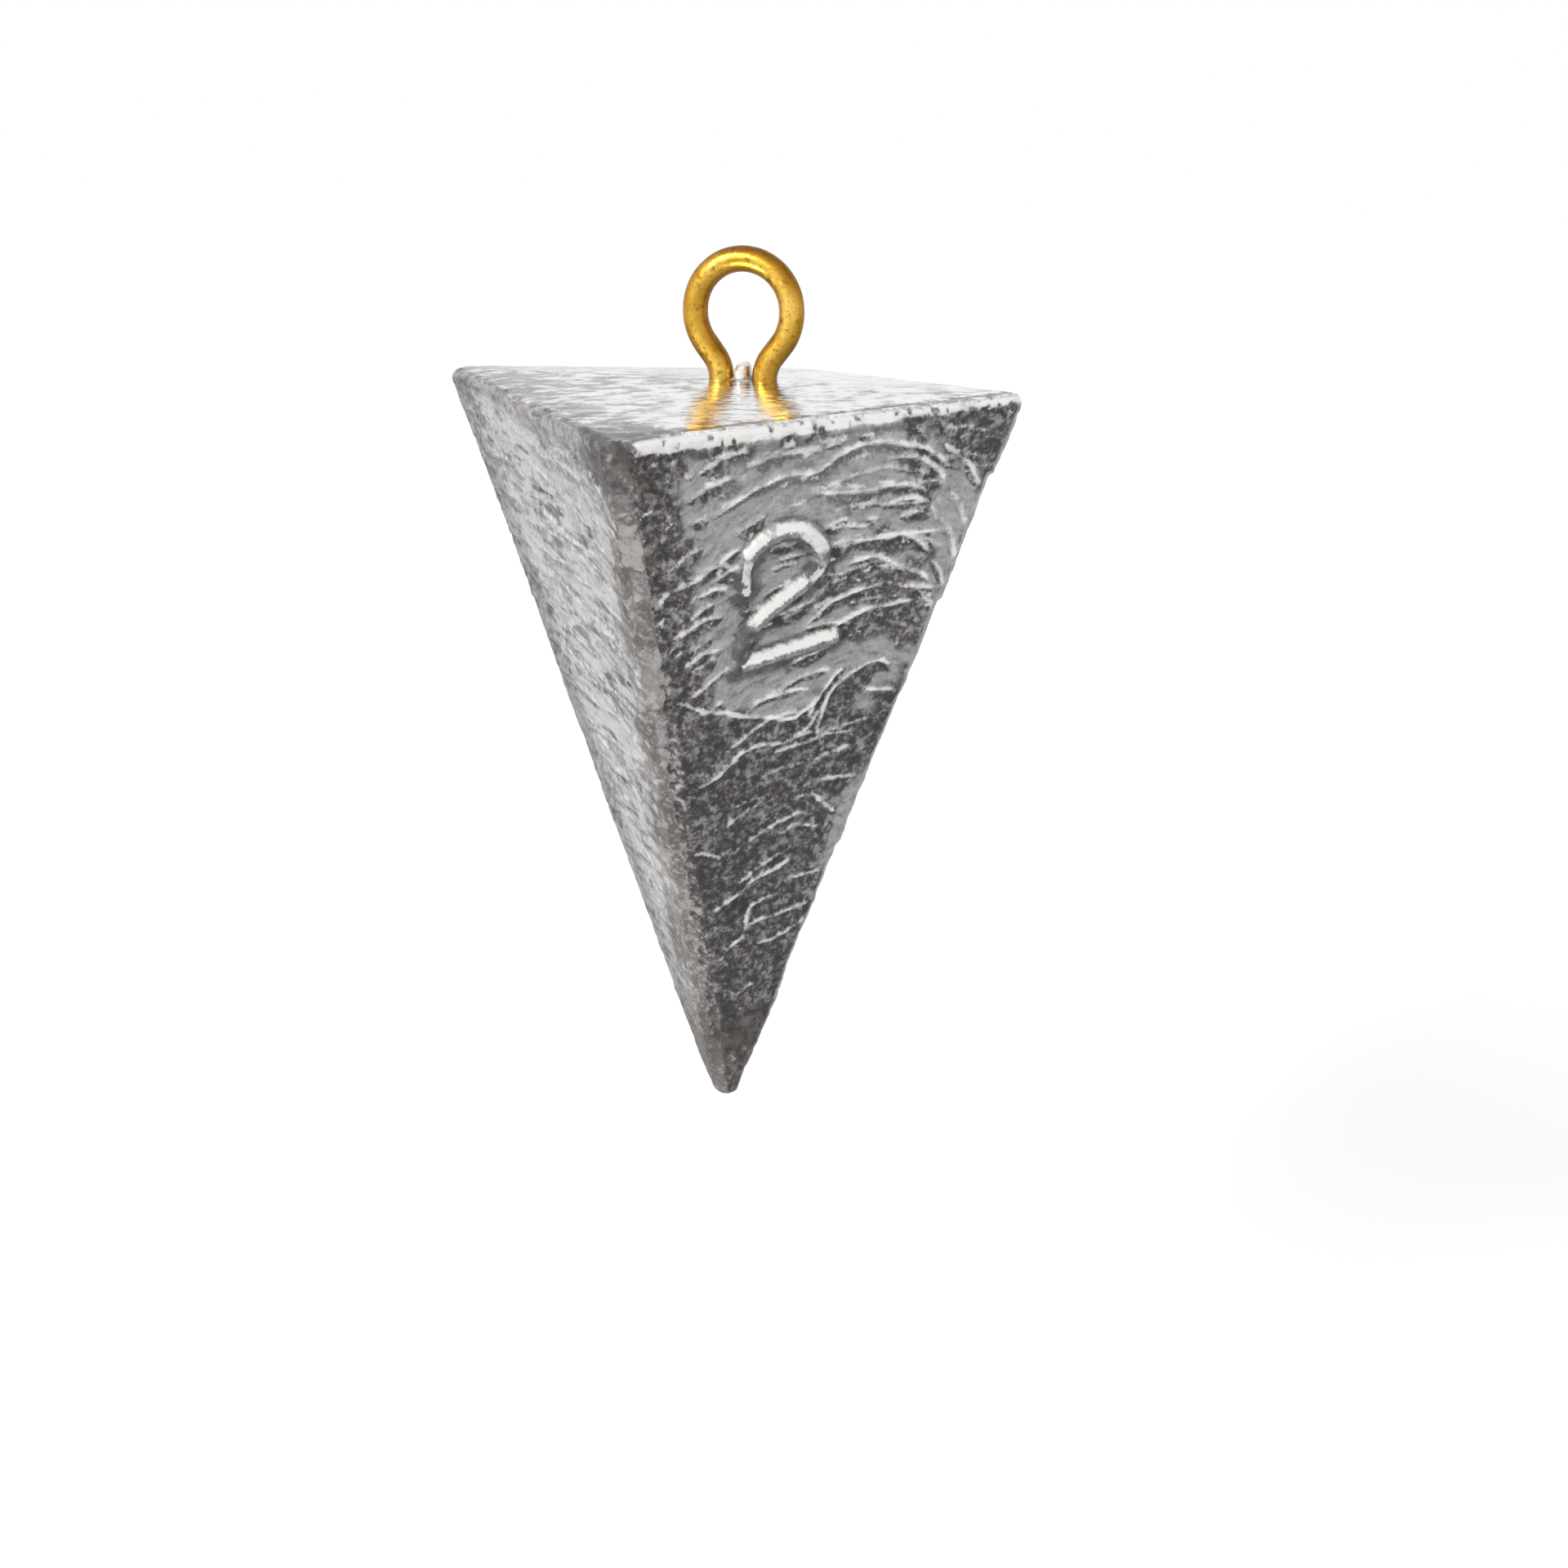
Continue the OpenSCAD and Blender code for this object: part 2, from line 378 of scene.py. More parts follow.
arrisWear = {  # down each long edge: height from the top, depth worn off it, how beige the bared lead is
    "front": [(-0.5, 0.55, 0.1), (-2.6, 0.42, 0.1), (-4.2, 0.26, 0.2), (-4.5, 0.2, 0.95),
              (-6.6, 0.26, 0.95), (-6.9, 0.36, 0.2), (-7.9, 0.38, 0.15), (-8.4, 0.24, 0.7),
              (-10.0, 0.27, 0.7), (-10.6, 0.34, 0.35), (-12.0, 0.3, 0.55), (-12.9, 0.16, 0.65),
              (-13.3, 0.08, 0.8), (-13.5, 0.44, 0.1), (-15.5, 0.36, 0.3), (-17.2, 0.28, 0.5),
              (-19.0, 0.2, 0.8), (-20.5, 0.32, 0.45), (-22.2, 0.22, 0.8), (-23.4, 0.33, 0.4),
              (-25.3, 0.24, 0.7), (-25.9, 0.32, 0.4), (-29.0, 0.24, 0.55), (-33.0, 0.18, 0.5),
              (-36.0, 0.08, 0.5)],
    "left": [(-0.5, 0.14), (-3.5, 0.4), (-8.0, 0.42), (-12.5, 0.3), (-17.0, 0.17), (-20.7, 0.14),
             (-21.0, 0.02), (-23.5, 0.11), (-23.8, 0.02), (-36.0, 0.06)],
    "right": [(-0.5, 0.02), (-3.4, 0.02), (-3.7, 0.18), (-6.5, 0.1), (-9.2, 0.02), (-9.5, 0.15),
              (-13.8, 0.03), (-14.1, 0.13), (-21.5, 0.02), (-21.8, 0.14), (-24.0, 0.05), (-36.0, 0.02)],
    "back": [(-0.5, 0.2, 0.4), (-10.0, 0.26, 0.7), (-18.0, 0.18, 0.3), (-26.0, 0.26, 0.7),
             (-36.0, 0.1, 0.3)],
}
plainBeige = 0.1  # where the list gives no beige

rimLip = {
    "strip": (1.4, 1.0),  # how far in from the edge its marks start and are full
    "below": 0.62,  # how far under the top its bright lip, a painted highlight, ends
    "narrowing": 0.026,  # less for each millimetre to the right
    "grooveAt": 0.62,  # the groove behind the lip, from the edge of the top
    "grooveWidth": 0.15,
}

frontEdge = {
    "bandAt": 0.36,  # where the dark band begins, to the right of the middle
    "bandShift": 0.5,  # how far it moves over to the left, between these depths
    "shiftDown": (11, 17),
    "bandEnd": (31.5, 34),
    "soiledCorner": (-0.5, -0.5, -0.2),  # middle of the soiled spot, from the end of the arris
    "soiledReach": (1.4, 4.4),
}

tipMarks = {
    "soiled": (28.0, 33.0),  # depths where the dirt starts and is full
    "strand": {"height": -25.9, "halfWidth": 0.7, "end": 1.1, "sag": 0.5, "thickness": 0.1, "proud": 0.07},
}


def castCloud(body):
    # points whose hull is the rounded, drafted pyramid, its top's middle at the origin
    rim, edge, steps = body["rimRadius"], body["edgeRadius"], body["hullSteps"]
    cornerAt = (body["topWidth"] / 2 - edge) * math.sqrt(2)
    drop = cornerAt * math.tan(math.radians(body["topDraft"]))
    corners = {"right": (cornerAt, 0, 0), "left": (-cornerAt, 0, 0),
               "front": (0, -cornerAt, -drop), "back": (0, cornerAt, -drop)}
    dots = []
    for corner in corners.values():
        for down in np.radians(np.arange(90, -steps["under"], -steps["rim"])):
            for turn in np.radians(np.arange(0, 360, steps["round"])):
                reach = edge - rim + rim * math.cos(down)
                dots.append((corner[0] + reach * math.cos(turn), corner[1] + reach * math.sin(turn),
                             corner[2] + rim * (math.sin(down) - 1)))
    tip = np.array((0, 0, body["tipRadius"] - body["height"]))
    dots += [tuple(tip + body["tipRadius"] * spot) for spot in ballSpots(steps["ball"])]
    ends = {name: np.array(place) - (0, 0, rim) for name, place in corners.items()}
    return dots, ends, tip


def ballSpots(step):
    return [np.array((math.cos(down) * math.cos(turn), math.cos(down) * math.sin(turn), math.sin(down)))
            for down in np.radians(np.arange(-90, 91, step)) for turn in np.radians(np.arange(0, 360, step))]


def stubCloud(body):
    # the lump left where the sprue was broken off, between the legs and a little crooked
    stub = body["stub"]
    width, length, height = stub["width"] / 2, stub["length"] / 2, stub["height"]
    foot = np.array((-body["middle"][0], 0, 0))
    lumps = [((0.02, 0.1, height - 0.16), (width * 0.86, length * 0.7, 0.16)),
             ((0, 0, 0.02), (width, length, 0.3)),
             ((-0.02, -0.05, height * 0.45), (width * 0.92, length * 0.85, 0.2))]
    return [tuple(foot + middle + spot * size)
            for spot in ballSpots(body["hullSteps"]["ball"]) for middle, size in lumps]


def leaned(outward, down, near, tip, body):
    # the plane that touches both the rounded corner at near and the smaller ball of the tip
    reach = body["rimRadius"] + (body["edgeRadius"] - body["rimRadius"]) * math.hypot(outward[0], outward[1])
    return unit(outward + down * (reach - body["tipRadius"]) / ((tip - near) @ down)), reach


def downhill(across, outward):
    down = np.cross(across, outward)
    return -np.sign(down[2]) * down


def faceFrame(near, far, tip, body):
    # a side's plane: a point on it, the directions across from its near corner and down, and outward
    across = unit(far - near)
    outward = unit(np.cross(far - near, tip - near))
    outward *= np.sign(outward @ (near + far))
    outward, reach = leaned(outward, downhill(across, outward), near, tip, body)
    return near + outward * reach, across, downhill(across, outward), outward


def convexPart(dots):
    build = bmesh.new()
    for dot in dots:
        build.verts.new(dot)
    hull = bmesh.ops.convex_hull(build, input=build.verts)
    spare = {part for part in hull["geom_interior"] + hull["geom_unused"]
             if isinstance(part, bmesh.types.BMVert)}
    bmesh.ops.delete(build, geom=list(spare), context="VERTS")
    bmesh.ops.recalc_face_normals(build, faces=build.faces)
    part = bpy.data.meshes.new("hull")
    build.to_mesh(part)
    build.free()
    return part


def evenSkin(coarse, step):
    # one closed skin over all the hulls, in faces of about one size
    blank = addObject("blank", coarse)
    remesh = blank.modifiers.new("even", "REMESH")
    remesh.mode = "VOXEL"
    remesh.voxel_size = step
    even = bpy.data.meshes.new_from_object(blank.evaluated_get(bpy.context.evaluated_depsgraph_get()))
    bpy.data.objects.remove(blank)
    build = bmesh.new()
    build.from_mesh(even)
    bpy.data.meshes.remove(even)
    return build


def divide(build, faces, cuts):
    edges = list({edge for face in faces for edge in face.edges})
    bmesh.ops.subdivide_edges(build, edges=edges, cuts=cuts, use_grid_fill=True)


def fineShell(clouds, body):
    # the hulls as one closed mesh, fine enough to carry the casting's relief, finest on the front sides
    whole = bmesh.new()
    for dots in clouds:
        part = convexPart(dots)
        whole.from_mesh(part)
        bpy.data.meshes.remove(part)
    coarse = bpy.data.meshes.new("hulls")
    whole.to_mesh(coarse)
    surface = BVHTree.FromBMesh(whole)
    whole.free()
    build = evenSkin(coarse, body["meshStep"])
    bpy.data.meshes.remove(coarse)
    fine = body["fineSides"]
    divide(build, [face for face in build.faces
                   if face.calc_center_median().y < fine["behind"] and face.normal.z < fine["upward"]], 1)
    nub = Vector((-body["middle"][0], 0, 0))
    divide(build, [face for face in build.faces
                   if (face.calc_center_median() - nub).length < body["stub"]["length"]], 2)
    bmesh.ops.triangulate(build, faces=[face for face in build.faces if len(face.verts) > 4])
    for vertex in build.verts:
        spot, _, _, away = surface.find_nearest(vertex.co)
        if away < body["meshStep"]:
            vertex.co = spot
    build.normal_update()
    mesh = bpy.data.meshes.new("castLead")
    build.to_mesh(mesh)
    build.free()
    return mesh


def ripple(spots, lines, wobble):
    # the bright crest of every chill line, a painted highlight, the rough dark band under it, partly painted
    # shadow, and the relief of both
    crest, band, relief = np.zeros(len(spots)), np.zeros(len(spots)), np.zeros(len(spots))
    for drawn, height, width in lines:
        line = flowLine(drawn)
        low, high = line.min(0) - rippleShape["reach"], line.max(0) + rippleShape["reach"]
        near = np.flatnonzero(np.all((spots > low) & (spots < high), axis=1))
        away, below, passed = alongLine(spots[near] + wobble[near], line)
        fade = ramp(passed, 0, 0.15) * ramp(1 - passed, 0, 0.15)
        rise = np.exp(-(away / rippleShape["crestWidth"]) ** 2) * fade
        glint = np.exp(-(away / rippleShape["glintWidth"]) ** 2) * fade
        taper = width * np.sqrt(ramp(passed, 0, 0.35) * ramp(1 - passed, 0, 0.35)) + 0.01
        under = ramp(below, 0.02, 0.2) * fall(away / taper + 0.5 * wobble[near, 0] / width, 0.45, 1)
        crest[near] = np.maximum(crest[near], glint * min(1, 0.55 + abs(height) * 6))
        band[near] = np.maximum(band[near], under)
        relief[near] += height * rise - rippleShape["bandDepth"] * height * under
    return crest, band, relief


def arch(side, across, down):
    # how far the flow lines of a side lift at a place, above where they start
    if side == "left":  # nearly level, and bent up at the front arris
        return 0.03 * (across - 12) - 2.6 * np.exp(-across / 2.4)
    height = flowArch["height"] + flowArch["growth"] * down
    return height * (1 - ((across - flowArch["crown"][side]) / flowArch["halfSpan"]) ** 2)


def sideEnds(down):
    # how far across the flat part of a side starts and ends, this far down it
    side = leadBody["side"]
    start = side["tipAcross"] * down / side["tipDown"]
    return start, side["width"] - start


def onSide(across, down):
    start, end = sideEnds(down)
    return 0.15 < down and start + 0.3 < across < end


def ruledRipples(side, seed, gap, tall, shortest, longest, lowest=33):
    # chill lines that follow the flow of the lead, broken off and started again at random
    draw = np.random.default_rng(seed)
    lines = []
    level = 1.0
    while level < lowest:
        start = draw.uniform(0.5, 0.5 + longest)
        while start < 17:
            end = start + draw.uniform(shortest, longest)
            steps = np.linspace(start, end, 8)
            down = np.full(8, level)
            for _ in range(3):
                down = level - arch(side, steps, down)
            down = down + 0.16 * np.sin(steps * draw.uniform(0.8, 1.6) + draw.uniform(0, 6))
            line = [place for place in zip(steps, down) if onSide(*place)]
            if len(line) > 3:
                lines.append((line, tall * draw.uniform(0.5, 1.2), draw.uniform(0.3, 1.1)))
            start = end + draw.uniform(0.3, 0.5 * longest)
        level += gap * draw.uniform(0.7, 1.3)
    return lines


def smoothed(values, pairs, passes):
    # each value drawn towards the mean of its neighbours along the mesh's edges
    count = len(values)
    near = np.bincount(pairs[:, 0], minlength=count) + np.bincount(pairs[:, 1], minlength=count)
    for _ in range(passes):
        total = (np.bincount(pairs[:, 0], values[pairs[:, 1]], count)
                 + np.bincount(pairs[:, 1], values[pairs[:, 0]], count))
        values = (values + total / near) / 2
    return values


def markFigure(spots, spot):
    # the figure's height, the painted highlight on its upper left flank, the painted shade under its lower
    # right one, and its pits
    step = np.array(figureTwo["shadeSide"])
    half = figureTwo["halfWidth"]
    bow, foot = (flowLine(figureTwo[part]) for part in ("bow", "foot"))
    wobble = 0.05 * waves(spot, 0.5, 71)
    bowAway, _, passed = alongLine(spots, bow)
    footAway = alongLine(spots, foot)[0]
    away = np.minimum(bowAway, footAway) + wobble
    onward = np.minimum(alongLine(spots + step, bow)[0], alongLine(spots + step, foot)[0]) + wobble
    shadeSide = (onward - away) / np.linalg.norm(step)
    raised = fall(away, half * 0.35, half * 1.35)
    flank = ramp(-shadeSide, -0.5, 0.4)
    upright = fall(np.abs(shadeSide), 0.35, 0.85)
    pits = 0.7 * ramp(waves(spot, 0.5, 73, 2), 0.35, 0.6)

    # a painted highlight lies along the flat of the bow, and its start, its turn and its heel are dull round
    # a thin core of painted highlight
    onBow = bowAway < footAway
    litAndRubbed = window(passed, *figureTwo["highlitBow"]) * onBow
    turnAt, *turnFade = figureTwo["dullTurn"]
    ends = (fall(passed, *figureTwo["dullStart"]) + fall(np.abs(passed - turnAt), *turnFade)) * onBow
    heel = ramp(passed, *figureTwo["dullHeel"]) * onBow
    core = ramp(raised, 0.9, 1.0) * ramp(waves(spot, 0.35, 76, 2), -0.6, -0.25)
    highlight = ramp(raised, 0.1, 0.5) * (0.1 + 0.85 * flank) * (1 - 0.8 * pits) * (1 - 0.7 * upright)
    highlight = np.maximum(highlight, 0.85 * litAndRubbed * ramp(raised, 0.4, 0.85) * (1 - pits))
    highlight = np.maximum(highlight * (1 - 0.85 * np.maximum(ends, heel)), 0.8 * core * ends)

    # painted shade under the lower right flank, and darker beside the upright strokes and round the dull
    # ends
    below = (1 - flank) * fall(away, half * 1.5, half * 2.6) * (1 - 0.4 * ramp(raised, 0.6, 1.0))
    beside = 0.8 * upright * ramp(raised, 0.05, 0.3) * ramp(waves(spot, 0.45, 74), -0.4, 0.2)
    speckled = 0.6 + 0.4 * ramp(waves(spot, 0.45, 75, 2), -0.35, 0.15)
    onEnds = (1.4 * ends + 1.2 * heel) * ramp(raised, 0.02, 0.2) * speckled
    shadeAndDirt = np.maximum.reduce([below, beside, onEnds])
    return raised, highlight, shadeAndDirt, pits * raised


def sideNoise(name, number, spots, spot):
    # a side's flow, its uneven patches and how far each place is from the side's two arrises
    across, down = spots.T
    level = down + arch(name, across, down)
    apart = np.full(len(spots), castPattern["flowApart"] * number)
    stream = np.stack([across * (0.5 if name == "left" else 1), level, apart], axis=1)
    start, end = sideEnds(down)
    return SimpleNamespace(
        across=across, down=down, stream=stream, inner=across - start, outer=end - across,
        broad=waves(spot, 2.6, 33, 2), ragged=waves(spot, 0.8, 50, 3), lumps=waves(spot, 0.5, 21, 2),
        streak=waves(stream * (0.45, 1, 1), 0.55, 44, 2))


def sideLines(name, number, spots, spot):
    # the drawn and the ruled chill lines of a side, in an uneven hand
    drift = np.stack([waves(spot, 1.3, 5), waves(spot, 1.3, 6)], axis=1) * 0.10
    drift += np.stack([waves(spot, 0.5, 8), waves(spot, 0.5, 9)], axis=1) * 0.05
    tall, lowest = (0.03, 26) if name == "left" else (0.05, 12)
    lines = chillRipples.get(name, []) + ruledRipples(name, 60 + number, 1.7, tall, 2.0, 7.5)
    lines += ruledRipples(name, 80 + number, 1.5, 0.035, 0.5, 2.6, lowest)
    crest, band, relief = ripple(spots, lines, drift)
    return crest * (0.6 + 0.4 * ramp(waves(spot, 0.9, 47, 2), -0.35, 0.3)), band, relief


def markLeft(side, crest, band, relief):
    # freshly cast and lighter than the other sides, in part as painted light on this side, with flecks in
    # clusters, more of them towards the front arris and the outer edge.
    # adds to the relief and returns the marks, as the next function does
    down, broad, ragged, streak = side.down, side.broad, side.ragged, side.streak
    clump = ramp(broad + 0.4 * ragged, -0.25, 0.35)
    rough = np.maximum(ramp(streak + 0.6 * side.lumps, -0.02, 0.4) * (0.2 + 0.8 * clump), 0.6 * band)
    flecks = ramp(waves(side.stream * (0.4, 1, 1), 0.42, 49, 2), 0.14, 0.42)
    flecks *= ramp(broad + 0.3 * ragged, -0.5, 0.0)
    relief += 0.035 * streak + 0.03 * side.lumps * clump + 0.05 * broad - 0.03 * flecks
    crest *= 0.7 * (1 - 0.7 * fall(side.outer, 1.2, 3.8))
    grime = np.maximum.reduce([
        0.56 * fall(side.outer + 0.5 * ragged, 1.6, 4.2),
        0.5 * fall(side.inner + 0.8 * ragged, 0.2, 2.4) * ramp(streak, -0.3, 0.3),
        0.45 * ramp(down + 3 * broad, 20, 31),
        0.75 * flecks * (1 - 0.4 * ramp(down, 18, 26))])
    worn = 0.65 * fall(side.inner + 1.1 * ragged, 0.0, 1.9) * ramp(ragged + 0.3 * streak, -0.5, 0.0)
    return {"island": rough, "crest": crest, "grime": grime, "worn": worn, "fresh": np.ones(len(down))}


def markPlain(name, side, crest, band, relief):
    # smooth streams between rough islands, and rougher below
    down, broad, ragged, streak = side.down, side.broad, side.ragged, side.streak
    loose = ramp(broad + 0.3 * streak + 0.3 * ragged, -0.05, 0.35)
    if name == "right":
        low = ramp(down + 3.5 * broad + 2.0 * streak + 0.8 * ragged, *rightFace["roughLow"])
    else:
        low = 0.7 * ramp(down + 14 * broad + 7.0 * streak + 3.0 * ragged, 12.0, 32.0)
    low *= 0.9 - 0.55 * ramp(streak + 0.5 * broad, 0.15, 0.6)
    relief += 0.02 * streak + 0.04 * broad
    return {"island": np.maximum.reduce([band * 0.75, loose * 0.66, low]), "crest": crest,
            "grime": np.zeros(len(down))}


def markRight(side, marks):
    # calm beside the figure, dark by the front arris and at the outer corner, soiled lower down
    across, down, ragged = side.across, side.down, side.ragged
    rough, crest = marks["island"], marks["crest"]
    spot, band = rightFace["calmSpot"], rightFace["calmBand"]
    (spotAcross, spotDown), (spotWidth, spotHeight) = spot["middle"], spot["size"]
    calm = ramp(np.hypot((across - spotAcross) / spotWidth, (down - spotDown) / spotHeight), 0.6, 1.1)
    crest *= 0.7 + 0.3 * calm
    rough *= np.maximum(calm, 0.4)
    rough *= 1 - 0.35 * window(down, *band["down"]) * window(across, *band["across"])
    spread = 0.6 + 1.1 * np.exp(-down / 3)
    byFront = 0.85 - 0.85 * ramp(side.inner + 0.8 * ragged + 0.3 * side.lumps, spread, spread + 1.6)
    atCorner = 0.8 * ramp(across - 1.2 * down + 1.5 * ragged, *rightFace["darkCorner"])
    rough = np.maximum.reduce([rough, byFront, atCorner])
    bareAt, *bareFade = rightFace["bareOuter"]
    rough *= 1 - 0.8 * fall(side.outer + 0.7 * ragged, 0.5, 1.5) * fall(np.abs(down - bareAt), *bareFade)
    dashes = ramp(waves(side.stream * (0.5, 1, 1), 0.38, 48, 2), 0.2, 0.5) * (1 - 0.6 * ramp(down, 9, 13))
    patchy = 0.35 + 0.65 * ramp(side.broad + 0.4 * ragged, -0.2, 0.5)
    return {"island": rough, "crest": np.maximum(crest, 0.75 * dashes * ramp(rough, 0.2, 0.6)),
            "grime": ramp(down, *rightFace["soiledLow"]) * rough * patchy}


def raiseFigure(spots, spot, ragged, marks, relief):
    raised, highlight, shadeAndDirt, pits = markFigure(spots, spot)
    marks["island"] *= 1 - ramp(raised, 0.05, 0.4)
    marks["crest"] = np.maximum(marks["crest"] * (1 - raised), highlight)
    marks["grime"] = np.maximum(marks["grime"] * (1 - raised), 0.75 * shadeAndDirt)
    return relief * (1 - raised) + (figureTwo["height"] + 0.02 * ragged - 0.05 * pits) * raised


def markSide(name, number, spots, spot):
    # relief and marks of one side
    side = sideNoise(name, number, spots, spot)
    crest, band, relief = sideLines(name, number, spots, spot)
    if name == "left":
        marks = markLeft(side, crest, band, relief)
    else:
        marks = markPlain(name, side, crest, band, relief)
    if name == "right":
        marks = markRight(side, marks)
    relief += marks["island"] * (0.075 * side.lumps - 0.03) * (0.5 if name == "left" else 1)
    if name == "right":
        relief = raiseFigure(spots, spot, side.ragged, marks, relief)
    return relief, marks, side.stream


def wearAway(place, end, tip, body, wear):
    # planes one long edge flat and uneven: the new places, the bared facet and how beige it is there
    down = unit(tip - end)
    sideways = unit(np.array((end[0], end[1], 0)))
    outward, reach = leaned(unit(sideways - (sideways @ down) * down), down, end, tip, body)
    over = (place - end) @ outward - reach
    at, depth, beige = np.array([(*row, plainBeige)[:3] for row in reversed(wear)]).T
    height = place[:, 2] + 0.45 * waves(place, 1.0, 57, 2)
    cut = np.interp(height, at, depth) * (1 + 0.35 * waves(place, 1.1, 58, 2)) + 0.04 * waves(place, 0.4, 59)
    nearby = ramp(over, -2.2, -1.2)
    excess = (over + cut) * nearby - (1 - nearby)
    off = (excess + np.sqrt(excess ** 2 + 0.02 ** 2)) / 2 * ramp(over, -1.6, -1.0)
    facet = ramp(excess + 0.06 * waves(place, 0.5, 63, 2), -0.01, 0.09)
    return place - off[:, None] * outward, facet, facet * np.interp(height, at, beige)


def bareSkin(mesh):
    # the shell's points as arrays, with no relief and no marks yet
    count = len(mesh.vertices)
    place, facing, pairs = np.zeros(count * 3), np.zeros(count * 3), np.zeros(len(mesh.edges) * 2, int)
    mesh.vertices.foreach_get("co", place)
    mesh.vertex_normals.foreach_get("vector", facing)
    mesh.edges.foreach_get("vertices", pairs)
    place = place.reshape(-1, 3)
    return SimpleNamespace(
        place=place, facing=facing.reshape(-1, 3), pairs=pairs.reshape(-1, 2), flow=place.copy(),
        ragged=waves(place, 0.8, 50, 3), lift=np.zeros(count), covered=np.zeros(count),
        masks={name: np.zeros(count) for name in ("island", "crest", "grime", "worn", "fresh")})


def raiseMask(skin, name, values, faded=0):
    # fades a mask, then lifts it to these values where they are higher
    skin.masks[name] = np.maximum(skin.masks[name] * (1 - faded), values)


def markSides(skin, ends, tip, body):
    best = np.zeros(len(skin.place))
    for number, (name, (near, far)) in enumerate(body["sideArrises"].items()):
        origin, across, down, outward = faceFrame(ends[near], ends[far], tip, body)
        share = ramp((skin.place - origin) @ outward, -0.16, -0.02)
        here = np.flatnonzero(share > 0)
        share = share[here]
        off = skin.place[here] - origin
        spots = np.stack([off @ across, off @ down], axis=1)
        relief, marks, stream = markSide(name, number, spots, skin.place[here])
        owner = share > best[here]
        skin.flow[here[owner]] = stream[owner]
        best[here] = np.maximum(best[here], share)
        skin.lift[here] += share * relief
        skin.covered[here] += share
        for mask, values in marks.items():
            skin.masks[mask][here] += share * values


def findTop(skin, body):
    # how far each point is under the top's own slope and from the edges of the top
    x, y, z = skin.place.T
    half = body["topWidth"] / 2
    draft = math.radians(body["topDraft"])
    skin.under = -(z + np.abs(y) * math.tan(draft)) * math.cos(draft)
    skin.openTop = ramp(-skin.under, -0.2, -0.03)
    skin.flat = fall(skin.under, 0.02, 0.08)
    skin.isSide = ramp(skin.under, 0.45, 0.7)
    skin.inner = half - np.maximum(np.abs(x + y), np.abs(x - y)) / math.sqrt(2)
    toRight, skin.toLeft = (x - y) / math.sqrt(2), (-x - y) / math.sqrt(2)
    strip = [half - inward for inward in rimLip["strip"]]
    skin.rightRim, skin.leftRim = ramp(toRight, *strip), ramp(skin.toLeft, *strip)


def markTop(skin, body):
    # the top: shrunk a little behind its rim, and finely rippled, with painted shade in the groove behind
    # the rim
    x, y = skin.place.T[:2]
    half, openTop, flat = body["topWidth"] / 2, skin.openTop, skin.flat
    along, aside = castPattern["topStreaks"]
    apart = np.full(len(x), castPattern["topFlow"])
    turned = np.stack([x * along + y * aside, y * along - x * aside, apart], axis=1)
    skin.flow[openTop > 0.5] = turned[openTop > 0.5]
    swell = waves(turned * (0.4, 1, 1), 1.1, 90, 2) * 0.012 + waves(turned * (0.35, 1, 1), 0.55, 91) * 0.006
    groove = (skin.inner - rimLip["grooveAt"] - 0.05 * skin.ragged) / rimLip["grooveWidth"]
    groove = np.exp(-groove ** 2) * (0.3 + 0.7 * skin.rightRim)
    skin.lift += openTop * flat * (swell * ramp(skin.inner, 0.5, 1.0) - 0.06 * groove)
    skin.lift += openTop * (1 - flat) * 0.03 * skin.ragged
    skin.masks["grime"] += openTop * flat * groove * (0.5 + 0.5 * ramp(skin.ragged, -0.5, 0.4))
    streaky = 0.35 + 0.4 * ramp(-x, -4, 9) + 0.4 * ramp(skin.toLeft, half - 4.0, half - 0.5)
    skin.masks["island"] = skin.masks["island"] * (1 - openTop) + openTop * np.minimum(streaky, 1)


def markRim(skin, body):
    # the rim: a bright lip along the right-hand side, a painted highlight with painted shadow under it; dull
    # and broken along the left
    x, y = skin.place.T[:2]
    under, ragged = skin.under, skin.ragged
    lipEnd = rimLip["below"] - rimLip["narrowing"] * x
    pits = ramp(waves(skin.place, 0.40, 61, 2) + 0.014 * x, 0.24, 0.5)
    lip = skin.rightRim * ramp(under, -0.02, 0.06) * ramp(x + 0.4 * ragged, 0.2, 1.0)
    lip *= fall(under + 0.13 * ragged, lipEnd, lipEnd + 0.22)
    skin.lift += lip * (0.05 - 0.07 * pits)
    raiseMask(skin, "crest", lip * (1.0 - 0.75 * pits - 0.3 * ramp(ragged, -0.1, 0.5)))
    raiseMask(skin, "worn", 0.6 * lip * pits)
    # painted shadow under the lip, carried in the grime mask
    shadow = skin.rightRim * window(under + 0.2 * ragged - lipEnd, 0.14, 0.26, 0.4, 0.9)
    raiseMask(skin, "grime", 0.45 * shadow * ramp(x, 0.5, 1.9), faded=lip)
    nearFront = ramp(-y, 3, 12)
    dull = skin.leftRim * ramp(under, -0.05, 0.1) * fall(under + 0.6 * ragged - 1.3 * nearFront, 0.4, 1.7)
    edgeOff = body["topWidth"] / 2 - skin.toLeft + 0.6 * ragged - nearFront
    dull = np.maximum(dull, 0.7 * skin.openTop * fall(edgeOff, 0.5, 1.7))
    raiseMask(skin, "worn", 0.6 * dull * ramp(ragged, -0.3, 0.1))
    raiseMask(skin, "grime", dull * (0.1 + 0.5 * ramp(-ragged, -0.2, 0.4)))
    skin.lift -= dull * 0.07 * (1 + ragged)
    skin.lip = lip


